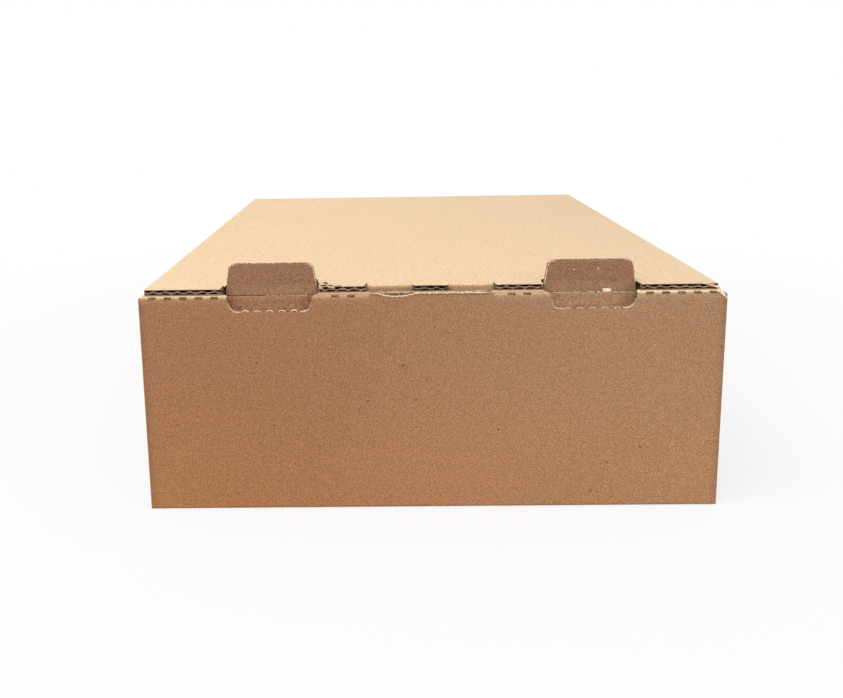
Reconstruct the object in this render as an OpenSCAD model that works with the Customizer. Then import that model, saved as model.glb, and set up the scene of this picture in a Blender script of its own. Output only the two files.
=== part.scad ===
// Closed mailing box, die-cut and folded from one sheet of corrugated board.
// It stands on its bottom panel with the front wall at -Y, and the origin is
// at the middle of the underside. The lid turns on the fold along the top of
// the back wall, so it is drawn as a solid of its own.

/* [Box] */
// Outside width, left to right
box_w = 300; // [280:1:400]
// Outside depth, front to back
box_d = 400; // [300:1:500]
// Height of the walls, up to the underside of the lid
wall_h = 116; // [90:1:200]

/* [Board] */
// Thickness of the corrugated board
board_t = 3; // [2.6:0.1:3.4]
// Distance from one flute tip to the next
flute_pitch = 6.3; // [5:0.1:8]
// Thickness of each of the two flat liners
liner_t = 0.45; // [0.3:0.05:0.6]
// Thickness of the waved medium between the liners
medium_t = 0.35; // [0.25:0.05:0.45]
// How far the open flutes run in from a cut edge
flute_depth = 8; // [2:0.5:10]
// Air between two plies that lie on each other
ply_gap = 0.4; // [0.3:0.05:0.6]
// Outer radius of a creased and folded edge
fold_r = 1.5; // [1:0.1:2.5]

/* [Front wall] */
// Distance of each tab and its window from the middle
tab_x = 82.5; // [78:0.5:90]
// Width of a window at the front fold
window_w = 44.5; // [40:0.5:46]
// Width of a window at its lower edge
window_low_w = 40; // [34:0.5:42]
// Width of a window where it meets the inner ply
window_back_w = 49; // [46:0.5:50]
// Height of a window below the front fold
window_h = 8.2; // [6:0.1:12]
// Radius of a window's lower corners
window_r = 4; // [1:0.5:5]
// Width of the thumb notch in the top of the wall
notch_w = 63; // [40:1:64]
// How far the front ply stands up past the wall's top in the thumb notch
notch_rise = 1; // [0.2:0.1:1.6]
// How far the cut top of the inner ply lies below the wall's top
inner_drop = 1.1; // [0.2:0.1:2]
// Radius of the wall's left top corner
left_corner_r = 1; // [0.5:0.1:2]
// Radius of the wall's right top corner, which is worn round
right_corner_r = 2.6; // [0.5:0.1:2.8]

/* [Perforated fold] */
// Length of one slit in the perforated front fold
slit_l = 3.9; // [2:0.1:5]
// Width of one slit
slit_w = 1; // [0.4:0.1:1.4]
// Distance from one slit to the next
slit_pitch = 8; // [6:0.5:10]
// Place of the first slit outside a window
slit_out_x = 111; // [110:0.5:116]
// Number of slits outside each window
slit_out_n = 5; // [1:1:5]
// Place of the first slit between the notch and a window
slit_in_x = 41; // [38:0.5:44]
// Number of slits between the notch and a window
slit_in_n = 2; // [1:1:2]

/* [Ears and locks] */
// Length of the side wall's ear inside the front wall
front_ear_l = 38; // [15:1:38]
// Length of the back wall's ear inside the side wall
back_ear_l = 70; // [20:1:120]
// Bevel on the free corners of an ear
ear_bevel = 12; // [4:1:20]
// Length of a lock tab on the lower edge of an inner ply
lock_l = 40; // [20:1:60]
// Distance of the side walls' lock tabs from the middle
side_lock_y = 95; // [60:1:110]
// Distance of the front wall's lock tabs from the middle
front_lock_x = 75; // [60:1:90]
// How far a lock tab ends above the underside
lock_rise = 0.4; // [0.2:0.1:1]

/* [Lid] */
// Air between the walls and the lid that lies on them
lid_gap = 0.3; // [0.2:0.05:0.6]
// Distance of the lid's left side from the outside of the box
lid_left_inset = 2.3; // [1:0.1:4]
// Distance of the lid's right side from the outside of the box
lid_right_inset = 3.6; // [1:0.1:4.5]
// How far the outer shoulders reach past the tuck flap
outer_reach = 6; // [2:0.5:8]
// How far the inner and middle shoulders reach past the tuck flap
inner_reach = 2.6; // [1:0.2:5]
// Inner edge of the folded strips that carry the tuck flap
strip_in_x = 9; // [5:0.5:14]
// Outer edge of the folded strips that carry the tuck flap
strip_out_x = 33; // [24:0.5:40]
// Depth of the tuck flap
flap_h = 60; // [30:1:64]
// How far the flap and its tabs lean, top to the front, in degrees
flap_lean = 5; // [4.6:0.2:8]
// Air between the tuck flap and the walls beside it
flap_gap = 2; // [1:0.5:6]
// Corner radius at the lower edge of the tuck flap
flap_corner_r = 14; // [4:1:25]
// Width of a tab where it rises past the lid
tab_w = 48; // [46:0.5:49]
// Width of a tab along its top
tab_top_w = 43.4; // [36:0.2:45]
// Radius of a tab's upper corners
tab_r = 3.4; // [1:0.2:4.4]
// Height of a tab above the flap's fold line
tab_h = 14.8; // [8:0.2:20]
// Width of the knife's cut round a tab
kerf = 0.5; // [0.3:0.1:0.8]

/* [Wear] */
// Middle of the torn dip in the outer liner of the thumb notch
dip_x = -17.5; // [-20:0.5:20]
// Width of the dip at the notch's edge
dip_w = 20; // [8:0.5:22]
// Depth of the dip
dip_h = 1.6; // [0.5:0.1:3]
// Radius of the wide bite torn out of the lid's upper liner beside the left tab
wide_bite_r = 4.4; // [2:0.1:5]
// Distance of the wide bite from the end of its shoulder
wide_bite_in = 3.8; // [2:0.1:5]
// Radius of the small bite torn out next to it
small_bite_r = 2.4; // [1:0.1:3]
// Distance of the small bite from the end of the shoulder
small_bite_in = 10.2; // [8:0.1:14]

/* [Hidden] */

$fn = 48;

// How far a cut runs past the face that it opens
skin = 0.1;
// How far the ends of the leaning fold lie inside the faces they join
seam = 0.02;
// Length of the fold's ends inside the panel and the flap
fold_lap = 2;
// Segments of the leaning fold
fold_steps = 8;
// Segments along one flute wave
wave_steps = 5;
// Share of a flute's half pitch that stays open beside the glue line
wave_open = 0.92;
// Board left standing at the ends of a row of open flutes
flute_end = 0.7;

half_w = box_w / 2;
half_d = box_d / 2;

// Three plies with air between them make a rolled wall
roll_d = 3 * board_t + 2 * ply_gap;
// Faces of the rolled walls towards the inside
inner_x = half_w - roll_d;
inner_y = -half_d + roll_d;
// Pivot lines of the folds behind the outer plies
ear_fold_y = -half_d + 2 * board_t + ply_gap;
back_fold_x = half_w - 2 * board_t - ply_gap;
// Front and back ends of the rolled tops of the side walls
side_front_y = inner_y + ply_gap;
side_back_y = half_d - board_t - ply_gap;
// Pivot height of the folds along the tops of the walls
fold_z = wall_h - board_t;
// Top of everything that lies under a rolled top
under_top = wall_h - board_t - ply_gap;
// Lowest edge of plies that stand on the bottom panel
stand_z = board_t + ply_gap;

lid_z = wall_h + lid_gap;
lid_left_x = half_w - lid_left_inset;
lid_right_x = half_w - lid_right_inset;
flap_face_y = inner_y + ply_gap;
crease_y = flap_face_y + board_t;
hinge_y = half_d - board_t / 2;
hinge_z = lid_z + board_t / 2;
flap_half = inner_x - flap_gap;
tab_in_x = tab_x - tab_w / 2;
tab_out_x = tab_x + tab_w / 2;

// Section of a square fold with its pivot at the origin. The outer corner
// points to the middle of the quarter that starts at this direction.
module fold_section(from) {
    flat = board_t - fold_r;
    rotate(from) {
        square([board_t, flat]);
        square([flat, board_t]);
        intersection() {
            square(board_t);
            translate([flat, flat])
                circle(fold_r);
        }
    }
}

// A folded edge along X, round the pivot at y, z
module fold_x(y, z, len, from) {
    translate([-len / 2, y, z])
        rotate([90, 0, 90])
            linear_extrude(len)
                fold_section(from);
}

// A folded edge along Y, from y0 to y1, round the pivot at x, z
module fold_y(x, z, y0, y1, from) {
    translate([x, y1, z])
        rotate([90, 0, 0])
            linear_extrude(y1 - y0)
                fold_section(from);
}

// A folded upright edge, from z0 to z1, round the pivot at x, y
module fold_up(x, y, z0, z1, from) {
    translate([x, y, z0])
        linear_extrude(z1 - z0)
            fold_section(from);
}

// A flat piece of the sheet between two opposite corners
module ply(low, high) {
    translate(low)
        cube(high - low);
}

// The same thing on the left and on the right
module both_sides() {
    children();
    mirror([1, 0, 0])
        children();
}

// Outline of one open flute: the liner above, the waved medium below
function flute_outline() =
    let (
        top = board_t / 2 - liner_t,
        swing = top - medium_t / 2,
        end = wave_open * flute_pitch / 2
    )
    concat(
        [[-end, top]],
        [for (i = [1:wave_steps - 1])
            let (x = flute_pitch * (i / wave_steps - 0.5))
            [x, medium_t / 2 - swing * cos(360 * x / flute_pitch)]],
        [[end, top]]
    );

// The open flutes of a cut edge of this length. The edge runs along X, its
// two liners face -Y and +Y, and the flutes run in from z = 0 towards -Z.
module open_flutes(len) {
    open_len = len - 2 * flute_end;
    count = floor(open_len / flute_pitch) + 1;
    start = -(count - 1) / 2 * flute_pitch;
    translate([0, 0, -flute_depth])
        linear_extrude(flute_depth + skin)
            intersection() {
                translate([-open_len / 2, -board_t / 2])
                    square([open_len, board_t]);
                union() {
                    for (i = [0:count - 1])
                        translate([start + i * flute_pitch, 0])
                            polygon(flute_outline());
                    for (i = [0:count])
                        translate([start + (i - 0.5) * flute_pitch, 0])
                            mirror([0, 1])
                                polygon(flute_outline());
                }
            }
}

// Trapezium on its longer side, with its two short-side corners rounded
module tongue(base_w, top_w, h, r) {
    slope = atan2((base_w - top_w) / 2, h);
    // A corner circle touches the short side and the slanted side
    corner_x = top_w / 2 - r * tan(45 - slope / 2);
    touch_x = corner_x + r * cos(slope);
    touch_y = h - r + r * sin(slope);
    polygon([
        [-base_w / 2, 0],
        [base_w / 2, 0],
        [touch_x, touch_y],
        [corner_x, h],
        [-corner_x, h],
        [-touch_x, touch_y],
    ]);
    for (side = [-1, 1])
        translate([side * corner_x, h - r])
            circle(r);
}

// Front wall: front ply, perforated top fold, top and inner ply
module front_wall() {
    fold_x(-half_d + board_t, board_t, box_w, 180);
    front_ply();
    difference() {
        front_roll();
        both_sides()
            translate([tab_x, 0, 0])
                window_top_cut();
        ply([-notch_w / 2, -half_d - skin, fold_z],
            [notch_w / 2, inner_y + skin, wall_h + skin]);
    }
    // Plies that stay upright where the top is cut away
    ply([-notch_w / 2, -half_d, fold_z],
        [notch_w / 2, -half_d + board_t, wall_h + notch_rise]);
    ply([-notch_w / 2, inner_y - board_t, fold_z],
        [notch_w / 2, inner_y, wall_h - inner_drop]);
    both_sides()
        ply([tab_x - window_back_w / 2, inner_y - board_t, fold_z],
            [tab_x + window_back_w / 2, inner_y, wall_h - inner_drop]);
    // Inner ply with the lock tabs that stand in the bottom's slots
    ply([-inner_x + ply_gap, inner_y - board_t, stand_z],
        [inner_x - ply_gap, inner_y, fold_z]);
    both_sides()
        ply([front_lock_x - lock_l / 2, inner_y - board_t, lock_rise],
            [front_lock_x + lock_l / 2, inner_y, stand_z]);
}

// The outer ply of the front wall
module front_ply() {
    translate([0, -half_d + board_t, 0])
        rotate([90, 0, 0])
            linear_extrude(board_t)
                difference() {
                    translate([-half_w, board_t])
                        square([box_w, fold_z - board_t]);
                    window_outlines();
                }
}

// The two windows, as they are cut in the front ply and its top fold
module window_outlines() {
    for (side = [-1, 1])
        translate([side * tab_x, wall_h])
            mirror([0, 1])
                tongue(window_w, window_low_w, window_h, window_r);
}

// The two folds and the flat top of the front wall, which covers the ends of
// the side walls. Its own ends are rounded at the wall's top corners.
module front_roll() {
    difference() {
        union() {
            fold_x(-half_d + board_t, fold_z, box_w, 90);
            ply([-half_w, -half_d + board_t, fold_z],
                [half_w, inner_y - board_t, wall_h]);
            both_sides()
                ply([inner_x - ply_gap, inner_y - board_t, fold_z],
                    [half_w, inner_y, wall_h]);
        }
        translate([0, -half_d + board_t, 0])
            rotate([90, 0, 0])
                linear_extrude(board_t + skin)
                    window_outlines();
        top_corner_trim(left_corner_r);
        mirror([1, 0, 0])
            top_corner_trim(right_corner_r);
    }
    fold_x(inner_y - board_t, fold_z, 2 * (inner_x - ply_gap), 0);
}

// What a rounded left top corner lacks of the square one
module top_corner_trim(r) {
    translate([-half_w, inner_y, wall_h])
        rotate([90, 0, 0])
            linear_extrude(roll_d + skin)
                difference() {
                    translate([-skin, -r])
                        square(r + skin);
                    translate([r, -r])
                        circle(r);
                }
}

// One window through the flat top, flaring back to the inner ply
module window_top_cut() {
    translate([0, 0, fold_z - skin])
        linear_extrude(board_t + 2 * skin)
            polygon([
                [-window_w / 2, -half_d + board_t],
                [window_w / 2, -half_d + board_t],
                [window_back_w / 2, inner_y - board_t],
                [window_back_w / 2, inner_y + skin],
                [-window_back_w / 2, inner_y + skin],
                [-window_back_w / 2, inner_y - board_t],
            ]);
}

// Slits of the perforated fold along the top of the front wall
module fold_slits() {
    both_sides() {
        for (i = [0:slit_out_n - 1])
            slit(slit_out_x + i * slit_pitch);
        for (i = [0:slit_in_n - 1])
            slit(slit_in_x + i * slit_pitch);
    }
}

// One slit, cut square through the corner of the fold
module slit(x) {
    depth = board_t * sqrt(2);
    translate([x, -half_d + board_t, fold_z])
        rotate([-45, 0, 0])
            translate([-slit_l / 2, -depth, -slit_w / 2])
                cube([slit_l, depth + skin, slit_w]);
}

// Right side wall: outer ply, rolled top, inner ply and front ear
module side_wall() {
    pivot_x = half_w - board_t;
    roll_x = inner_x + board_t;
    fold_y(pivot_x, board_t, ear_fold_y - board_t, half_d, 270);
    ply([pivot_x, ear_fold_y, board_t], [half_w, side_front_y, under_top]);
    ply([pivot_x, side_front_y, board_t], [half_w, half_d, fold_z]);
    fold_y(pivot_x, fold_z, side_front_y, half_d, 0);
    ply([roll_x, side_front_y, fold_z], [pivot_x, side_back_y, wall_h]);
    fold_y(roll_x, fold_z, side_front_y, side_back_y, 90);
    ply([inner_x, side_front_y, stand_z], [roll_x, side_back_y, fold_z]);
    for (y = [-side_lock_y, side_lock_y])
        ply([inner_x, y - lock_l / 2, lock_rise],
            [roll_x, y + lock_l / 2, stand_z]);
    fold_up(pivot_x, ear_fold_y, stand_z, under_top, 270);
    translate([pivot_x, ear_fold_y, 0])
        rotate([90, 0, 0])
            linear_extrude(board_t)
                mirror([1, 0])
                    ear_outline(front_ear_l);
}

// Back wall with its two ears, which lie inside the rolled side walls
module back_wall() {
    fold_x(half_d - board_t, board_t, 2 * back_fold_x, 270);
    ply([-back_fold_x, half_d - board_t, board_t],
        [back_fold_x, half_d, wall_h]);
    both_sides() {
        fold_up(back_fold_x, half_d - board_t, stand_z, wall_h, 0);
        translate([back_fold_x + board_t, half_d - board_t, 0])
            rotate([90, 0, -90])
                linear_extrude(board_t)
                    ear_outline(back_ear_l);
    }
}

// Outline of an ear of this length, with its upright fold at x = 0
module ear_outline(len) {
    polygon([
        [0, stand_z],
        [len - ear_bevel, stand_z],
        [len, stand_z + ear_bevel],
        [len, under_top - ear_bevel],
        [len - ear_bevel, under_top],
        [0, under_top],
    ]);
}

// Bottom panel, with slots for the lock tabs of the inner plies
module bottom_panel() {
    difference() {
        ply([-half_w + board_t, -half_d + board_t, 0],
            [half_w - board_t, half_d - board_t, board_t]);
        both_sides() {
            for (y = [-side_lock_y, side_lock_y])
                ply([inner_x - ply_gap, y - lock_l / 2 - ply_gap, -skin],
                    [inner_x + board_t + ply_gap, y + lock_l / 2 + ply_gap, stand_z]);
            ply([front_lock_x - lock_l / 2 - ply_gap, inner_y - board_t - ply_gap, -skin],
                [front_lock_x + lock_l / 2 + ply_gap, inner_y + ply_gap, stand_z]);
        }
    }
}

// Open flutes on the tray's cut edges that lie across the flutes
module tray_flutes() {
    both_sides() {
        translate([tab_x, -half_d + board_t / 2, wall_h - window_h])
            open_flutes(window_low_w - 2 * window_r);
        translate([tab_x, inner_y - board_t / 2, wall_h - inner_drop])
            open_flutes(window_back_w);
        translate([half_w - board_t / 2, half_d, wall_h / 2])
            rotate([0, -90, -90])
                open_flutes(wall_h - 2 * board_t);
    }
    translate([0, -half_d + board_t / 2, wall_h + notch_rise])
        open_flutes(notch_w);
    translate([0, inner_y - board_t / 2, wall_h - inner_drop])
        open_flutes(notch_w);
}

// Torn dip in the outer liner of the thumb notch, which bares the flutes
module liner_dip() {
    r = (dip_w * dip_w / 4 + dip_h * dip_h) / (2 * dip_h);
    translate([dip_x, -half_d + liner_t + skin, wall_h + notch_rise - dip_h + r])
        rotate([90, 0, 0])
            cylinder(r = r, h = liner_t + 2 * skin);
}

// The standing part of the sheet: bottom and four walls
module tray() {
    color("burlywood")
        difference() {
            union() {
                bottom_panel();
                front_wall();
                both_sides()
                    side_wall();
                back_wall();
            }
            fold_slits();
            tray_flutes();
            liner_dip();
        }
}

// Lid panel seen from above, with shoulders and the holes the tabs leave
module lid_outline() {
    outer_y = flap_face_y - outer_reach;
    inner_edge_y = flap_face_y - inner_reach;
    difference() {
        union() {
            translate([-lid_left_x, crease_y])
                square([lid_left_x + lid_right_x, hinge_y - crease_y]);
            translate([-lid_left_x, outer_y])
                square([lid_left_x - tab_out_x - kerf, crease_y - outer_y]);
            translate([tab_out_x + kerf, outer_y])
                square([lid_right_x - tab_out_x - kerf, crease_y - outer_y]);
            for (side = [0, 1])
                mirror([side, 0])
                    translate([strip_out_x, inner_edge_y])
                        square([tab_in_x - kerf - strip_out_x, crease_y - inner_edge_y]);
            translate([-strip_in_x, inner_edge_y])
                square([2 * strip_in_x, crease_y - inner_edge_y]);
        }
        for (side = [-1, 1])
            translate([side * tab_x, crease_y - skin])
                tongue(tab_w + 2 * kerf, tab_top_w + 2 * kerf, tab_h + kerf + skin, tab_r);
    }
}

// Tuck flap in the flat: the fold line is y = 0 and the flap hangs to -Y
module flap_outline() {
    difference() {
        translate([-flap_half, -flap_h])
            square([2 * flap_half, flap_h - skin]);
        for (side = [0, 1])
            mirror([side, 0]) {
                // Board that went into the shoulders is missing here
                translate([tab_out_x, -board_t - outer_reach])
                    square([flap_half, board_t + outer_reach + skin]);
                translate([strip_out_x, -board_t - inner_reach])
                    square([tab_in_x - strip_out_x, board_t + inner_reach + skin]);
                translate([flap_half - flap_corner_r, -flap_h])
                    difference() {
                        translate([0, -skin])
                            square(flap_corner_r + skin);
                        translate([0, flap_corner_r])
                            circle(flap_corner_r);
                    }
            }
        translate([-strip_in_x, -board_t - inner_reach])
            square([2 * strip_in_x, board_t + inner_reach + skin]);
    }
    for (side = [-1, 1])
        translate([side * tab_x, 0]) {
            tongue(tab_w, tab_top_w, tab_h, tab_r);
            translate([-tab_w / 2, -2 * skin])
                square([tab_w, 2 * skin]);
        }
}

// Section of the fold between lid and tuck flap. It turns a little further
// than square, and its ends run into the panel and the flap.
module flap_fold() {
    r = board_t - seam;
    down = [sin(flap_lean), -cos(flap_lean)];
    out = [-cos(flap_lean), -sin(flap_lean)];
    pivot = [crease_y, lid_z];
    // Middle of the outer corner's rounding
    middle = pivot + (r - fold_r) * ([0, 1] + out) / (1 - sin(flap_lean));
    polygon(concat(
        [pivot + [fold_lap, seam], pivot + [fold_lap, r]],
        [for (i = [0:fold_steps])
            let (a = 90 + i / fold_steps * (90 + flap_lean))
            middle + fold_r * [cos(a), sin(a)]],
        [
            pivot + r * out + fold_lap * down,
            pivot + seam * out + fold_lap * down,
            pivot + [-seam, seam],
        ]
    ));
}

// Tuck flap with its standing tabs, leaning about the fold line
module tuck_flap() {
    translate([0, crease_y, lid_z])
        rotate([flap_lean, 0, 0])
            difference() {
                rotate([90, 0, 0])
                    linear_extrude(board_t)
                        flap_outline();
                for (side = [-1, 1])
                    translate([side * tab_x, -board_t / 2, tab_h])
                        open_flutes(tab_top_w - 2 * tab_r);
                translate([0, -board_t / 2, -flap_h])
                    rotate([180, 0, 0])
                        open_flutes(2 * (flap_half - flap_corner_r));
            }
}

// Open flutes on the front edges of the shoulders and in the tab holes
module lid_flutes() {
    edge_z = lid_z + board_t / 2;
    outer_y = flap_face_y - outer_reach;
    inner_edge_y = flap_face_y - inner_reach;
    left_len = lid_left_x - tab_out_x - kerf;
    right_len = lid_right_x - tab_out_x - kerf;
    inner_len = tab_in_x - kerf - strip_out_x;
    translate([-lid_left_x + left_len / 2, outer_y, edge_z])
        rotate([90, 0, 0])
            open_flutes(left_len);
    translate([lid_right_x - right_len / 2, outer_y, edge_z])
        rotate([90, 0, 0])
            open_flutes(right_len);
    both_sides() {
        translate([strip_out_x + inner_len / 2, inner_edge_y, edge_z])
            rotate([90, 0, 0])
                open_flutes(inner_len);
        translate([tab_x, crease_y + tab_h + kerf, edge_z])
            rotate([-90, 0, 0])
                open_flutes(tab_top_w - 2 * tab_r);
    }
    translate([0, inner_edge_y, edge_z])
        rotate([90, 0, 0])
            open_flutes(2 * strip_in_x);
}

// Bites torn out of the upper liner beside the left tab, which bare the flutes
module liner_bites() {
    end_x = kerf - tab_in_x;
    depth = liner_t + skin;
    translate([end_x, flap_face_y - inner_reach, lid_z + board_t - depth]) {
        translate([wide_bite_in, 0, 0])
            cylinder(r = wide_bite_r, h = depth + skin);
        translate([small_bite_in, 0, 0])
            cylinder(r = small_bite_r, h = depth + skin);
    }
}

// The turning part of the sheet: lid panel, tuck flap and tabs
module lid() {
    color("tan") {
        difference() {
            translate([0, 0, lid_z])
                linear_extrude(board_t)
                    lid_outline();
            lid_flutes();
            liner_bites();
        }
        // Half-round back edge, turning on the fold line
        translate([-lid_left_x, hinge_y, hinge_z])
            rotate([90, 0, 90])
                linear_extrude(lid_left_x + lid_right_x)
                    intersection() {
                        circle(board_t / 2);
                        translate([0, -board_t / 2])
                            square(board_t);
                    }
        both_sides()
            translate([strip_in_x + seam, 0, 0])
                rotate([90, 0, 90])
                    linear_extrude(strip_out_x - strip_in_x - 2 * seam)
                        flap_fold();
        tuck_flap();
    }
}

tray();
lid();
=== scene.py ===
"""Looks of a closed mailing box in corrugated board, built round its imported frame.

The tray and the lid keep their own solids and get a kraft-board finish. What the
knife, the folds and handling leave on the sheet is modelled on top of them: torn
liner edges, frayed paper fibre, crushed flutes and loose chips of paper.
"""

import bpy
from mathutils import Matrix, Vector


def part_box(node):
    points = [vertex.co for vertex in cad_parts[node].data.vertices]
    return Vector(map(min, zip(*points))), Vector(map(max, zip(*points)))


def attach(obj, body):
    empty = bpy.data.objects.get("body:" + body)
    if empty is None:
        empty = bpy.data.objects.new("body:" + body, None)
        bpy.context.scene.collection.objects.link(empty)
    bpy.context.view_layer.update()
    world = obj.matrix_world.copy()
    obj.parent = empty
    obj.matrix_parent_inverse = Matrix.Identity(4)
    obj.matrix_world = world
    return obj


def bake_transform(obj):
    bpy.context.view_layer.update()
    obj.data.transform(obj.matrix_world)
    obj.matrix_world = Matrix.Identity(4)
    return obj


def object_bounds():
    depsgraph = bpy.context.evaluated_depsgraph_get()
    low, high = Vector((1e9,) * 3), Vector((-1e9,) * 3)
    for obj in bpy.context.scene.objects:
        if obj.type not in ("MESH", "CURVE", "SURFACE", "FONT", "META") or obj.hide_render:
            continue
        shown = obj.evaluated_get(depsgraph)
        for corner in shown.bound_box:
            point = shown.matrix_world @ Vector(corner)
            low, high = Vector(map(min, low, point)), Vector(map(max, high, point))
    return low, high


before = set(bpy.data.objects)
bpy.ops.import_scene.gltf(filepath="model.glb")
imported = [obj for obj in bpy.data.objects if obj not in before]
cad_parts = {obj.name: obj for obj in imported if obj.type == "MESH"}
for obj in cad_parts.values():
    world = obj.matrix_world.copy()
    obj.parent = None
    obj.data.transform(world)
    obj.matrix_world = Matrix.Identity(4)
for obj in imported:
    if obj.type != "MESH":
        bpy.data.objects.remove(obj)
CAD_LOW, CAD_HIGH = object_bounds()
TRAY_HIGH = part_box("tray")[1]
LID_LOW, LID_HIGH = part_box("lid")

import logging
import math
import random
from collections.abc import Callable, Sequence
from dataclasses import dataclass
from enum import Enum

import bmesh
import bpy
from mathutils import Matrix, Vector, noise

LOG = logging.getLogger("mailing_box")

MM = 0.001
PHOTO_W, PHOTO_H = 843, 698
SIDES = (-1, 1)
RIGHT = Vector((1, 0, 0))
BACK = Vector((0, 1, 0))
DOWN = Vector((0, 0, -1))
WHITE = (1, 1, 1, 1)
# Part of the board's thickness that one liner takes, and the softness of its edge
LINER_SHARE = 0.06
LINER_SOFT = 0.02
# Least size of a normal's part for a face that lies across that axis
STEEP = 0.6
LEVEL = 0.5

Colour = tuple[float, float, float]
Socket = bpy.types.NodeSocket
Mask = bpy.types.NodeSocket | float


class Body(Enum):
    """The two rigid bodies of the frame."""

    TRAY = "tray"
    LID = "lid"


class Slot(Enum):
    """Names for the two board materials' slots; nothing in this script uses them."""

    TRAY = "tray_board"
    LID = "lid_board"


@dataclass(frozen=True)
class Sheet:
    """Sizes of the folded sheet, in metres; a mirrored pair is given once."""

    # Board and cuts
    board: float = 3 * MM
    pitch: float = 6.3 * MM
    gap: float = 0.4 * MM
    lid_gap: float = 0.3 * MM
    fold_r: float = 1.5 * MM
    kerf: float = 0.5 * MM
    # Standing tabs and their windows in the front wall
    lean: float = math.radians(5)
    tab_x: float = 82.5 * MM
    tab_w: float = 48 * MM
    tab_top_w: float = 43.4 * MM
    tab_h: float = 14.8 * MM
    tab_r: float = 3.4 * MM
    window_w: float = 44.5 * MM
    window_low_w: float = 40 * MM
    window_back_w: float = 49 * MM
    window_h: float = 8.2 * MM
    window_r: float = 4 * MM
    # Thumb notch and the dip torn in it
    notch_w: float = 63 * MM
    notch_rise: float = 1 * MM
    dip_x: float = -17.5 * MM
    dip_w: float = 20 * MM
    dip_h: float = 1.6 * MM
    # Shoulders of the lid and the strips between them
    outer_reach: float = 6 * MM
    inner_reach: float = 2.6 * MM
    strip_in_x: float = 9 * MM
    strip_out_x: float = 33 * MM
    # Slits of the perforated fold
    slit_l: float = 3.9 * MM
    slit_pitch: float = 8 * MM
    slit_out_x: float = 111 * MM
    slit_in_x: float = 41 * MM
    slits_out: int = 5
    slits_in: int = 2
    # Read from the frame, or worked out from it
    half_w: float = CAD_HIGH.x
    half_d: float = CAD_HIGH.y
    wall_top: float = TRAY_HIGH.z - notch_rise
    fold_z: float = wall_top - board
    ply_back_y: float = board - half_d
    roll: float = 3 * board + 2 * gap
    inner_y: float = -half_d + roll
    inner_x: float = half_w - roll
    flap_face_y: float = inner_y + gap
    crease_y: float = flap_face_y + board
    lid_z: float = wall_top + lid_gap
    lid_top: float = lid_z + board
    lid_left: float = LID_LOW.x
    lid_right: float = LID_HIGH.x
    hinge_y: float = half_d - board / 2


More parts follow.
